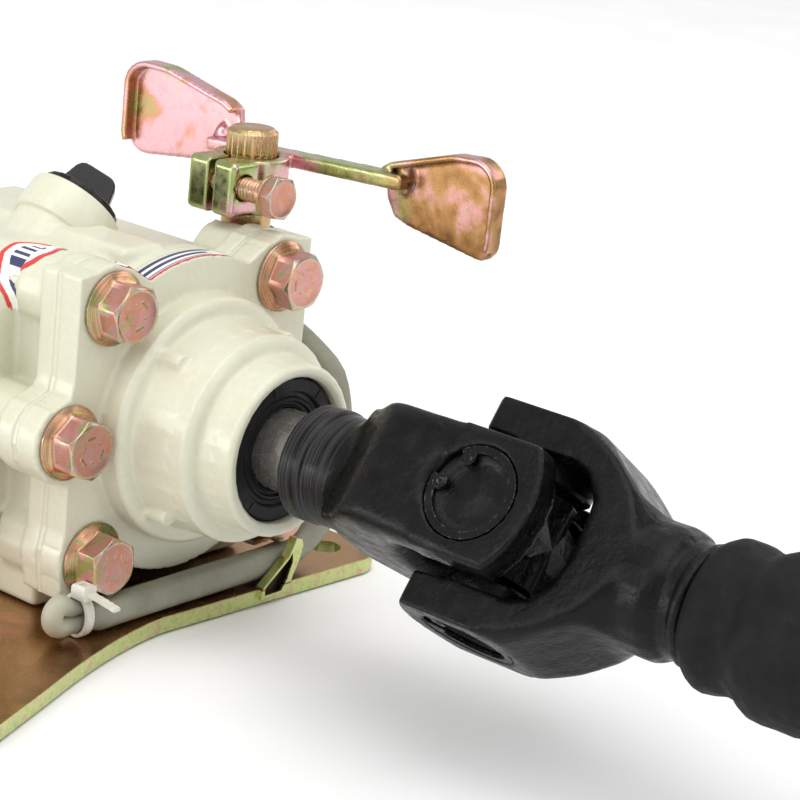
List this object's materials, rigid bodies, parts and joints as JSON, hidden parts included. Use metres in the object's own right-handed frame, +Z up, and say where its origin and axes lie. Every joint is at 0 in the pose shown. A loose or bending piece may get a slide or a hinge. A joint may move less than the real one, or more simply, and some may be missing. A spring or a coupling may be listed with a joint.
{
  "type": "right angle bevel gearbox",
  "caption": "Reversing right angle bevel gearbox with a rocker shift pedal, vent hose and a universal joint that drives a propeller tube.",
  "frame": {"origin": "underside of the base plate, right below the crossing of the input and output shaft axes", "axes": "+X along the output shaft towards the universal joint, -Y along the input shaft, +Z up from the base plate"},
  "size_m": [0.3374, 0.159, 0.1199],
  "materials": {
    "cream_paint": "semi-gloss cream enamel",
    "black_paint": "satin black paint over a forging",
    "yellow_zinc": "iridescent yellow zinc plating",
    "ground_steel": "ground bright steel",
    "gear_steel": "machined and hardened steel",
    "bearing_steel": "polished bearing steel",
    "bronze": "turned bronze",
    "rubber": "matt black rubber",
    "hose": "grey-green hose rubber",
    "black_plastic": "glossy black moulding",
    "nylon": "natural nylon",
    "gasket_paper": "oiled gasket paper"
  },
  "bodies": {
    "gearbox": {"base_plate": "yellow_zinc", "base_screw_1": "yellow_zinc", "base_screw_2": "yellow_zinc", "base_screw_3": "yellow_zinc", "base_screw_4": "yellow_zinc", "cable_tie": "nylon", "cover_bolt_1": "yellow_zinc", "cover_bolt_2": "yellow_zinc", "cover_bolt_3": "yellow_zinc", "cover_bolt_4": "yellow_zinc", "cover_bolt_5": "yellow_zinc", "cover_bolt_6": "yellow_zinc", "cover_gasket": "gasket_paper", "drain_plug": "yellow_zinc", "fork_rail": "ground_steel", "hose_barb": "yellow_zinc", "housing": "cream_paint", "input_bearing": "bearing_steel", "input_bolt_1": "yellow_zinc", "input_bolt_2": "yellow_zinc", "input_bolt_3": "yellow_zinc", "input_bolt_4": "yellow_zinc", "input_cover": "cream_paint", "input_seal": "rubber", "output_bearing_front": "bearing_steel", "output_bearing_rear": "bearing_steel", "output_cover": "cream_paint", "output_seal": "rubber", "shift_seal": "rubber", "vent_hose": "hose"},
    "input": {"input_shaft": "ground_steel", "input_gear": "gear_steel"},
    "forward": {"forward_gear": "gear_steel", "forward_bush": "bronze"},
    "reverse": {"reverse_gear": "gear_steel", "reverse_bush": "bronze"},
    "output": {"output_shaft": "ground_steel", "spacer_sleeve": "ground_steel", "inner_yoke": "black_paint", "driving_cap_near": "gear_steel", "driving_cap_far": "gear_steel", "driving_circlip_near": "gear_steel", "driving_circlip_far": "gear_steel"},
    "clutch": {"dog_clutch": "gear_steel"},
    "cross": {"u_cross": "ground_steel"},
    "propeller": {"outer_yoke": "black_paint", "driven_cap_near": "gear_steel", "driven_cap_far": "gear_steel", "driven_circlip_near": "gear_steel", "driven_circlip_far": "gear_steel", "propeller_tube": "black_paint", "shaft_boot": "rubber"},
    "shift": {"shift_shaft": "yellow_zinc", "shift_lever": "yellow_zinc", "pinch_bolt": "yellow_zinc"},
    "fork": {"shift_fork": "gear_steel"},
    "filler": {"filler_cap": "black_plastic"}
  },
  "joints": [
    {"name": "input_spin", "type": "hinge", "parent": "gearbox", "child": "input", "pos_m": [0, 0, 0.05], "axis": [0, 1, 0], "continuous": true},
    {"name": "forward_spin", "type": "hinge", "parent": "gearbox", "child": "forward", "pos_m": [0, 0, 0.05], "axis": [1, 0, 0], "continuous": true},
    {"name": "reverse_spin", "type": "hinge", "parent": "gearbox", "child": "reverse", "pos_m": [0, 0, 0.05], "axis": [1, 0, 0], "continuous": true},
    {"name": "output_spin", "type": "hinge", "parent": "gearbox", "child": "output", "pos_m": [0, 0, 0.05], "axis": [1, 0, 0], "continuous": true},
    {"name": "clutch_slide", "type": "slide", "parent": "output", "child": "clutch", "axis": [1, 0, 0], "range_m": [-0.004, 0.004]},
    {"name": "cross_hinge", "type": "hinge", "parent": "output", "child": "cross", "pos_m": [0.1552, 0, 0.05], "axis": [0, -0.8111, 0.585], "range_deg": [-16, 16]},
    {"name": "propeller_hinge", "type": "hinge", "parent": "cross", "child": "propeller", "pos_m": [0.1552, 0, 0.05], "axis": [0, -0.585, -0.8111], "range_deg": [-16, 16]},
    {"name": "shift_turn", "type": "hinge", "parent": "gearbox", "child": "shift", "pos_m": [0.0334, 0.038, 0.085], "axis": [0, 0, 1], "range_deg": [-16, 16]},
    {"name": "fork_slide", "type": "slide", "parent": "gearbox", "child": "fork", "axis": [1, 0, 0], "range_m": [-0.004, 0.004]},
    {"name": "filler_pull", "type": "slide", "parent": "gearbox", "child": "filler", "axis": [0, 0.7071, 0.7071], "range_m": [0, 0.015]}
  ],
  "couplings": [
    {"joint": "forward_spin", "follows": "input_spin", "ratio": 1},
    {"joint": "reverse_spin", "follows": "input_spin", "ratio": -1},
    {"joint": "fork_slide", "follows": "shift_turn", "m_per_rad": 0.014},
    {"joint": "clutch_slide", "follows": "shift_turn", "m_per_rad": 0.014}
  ]
}
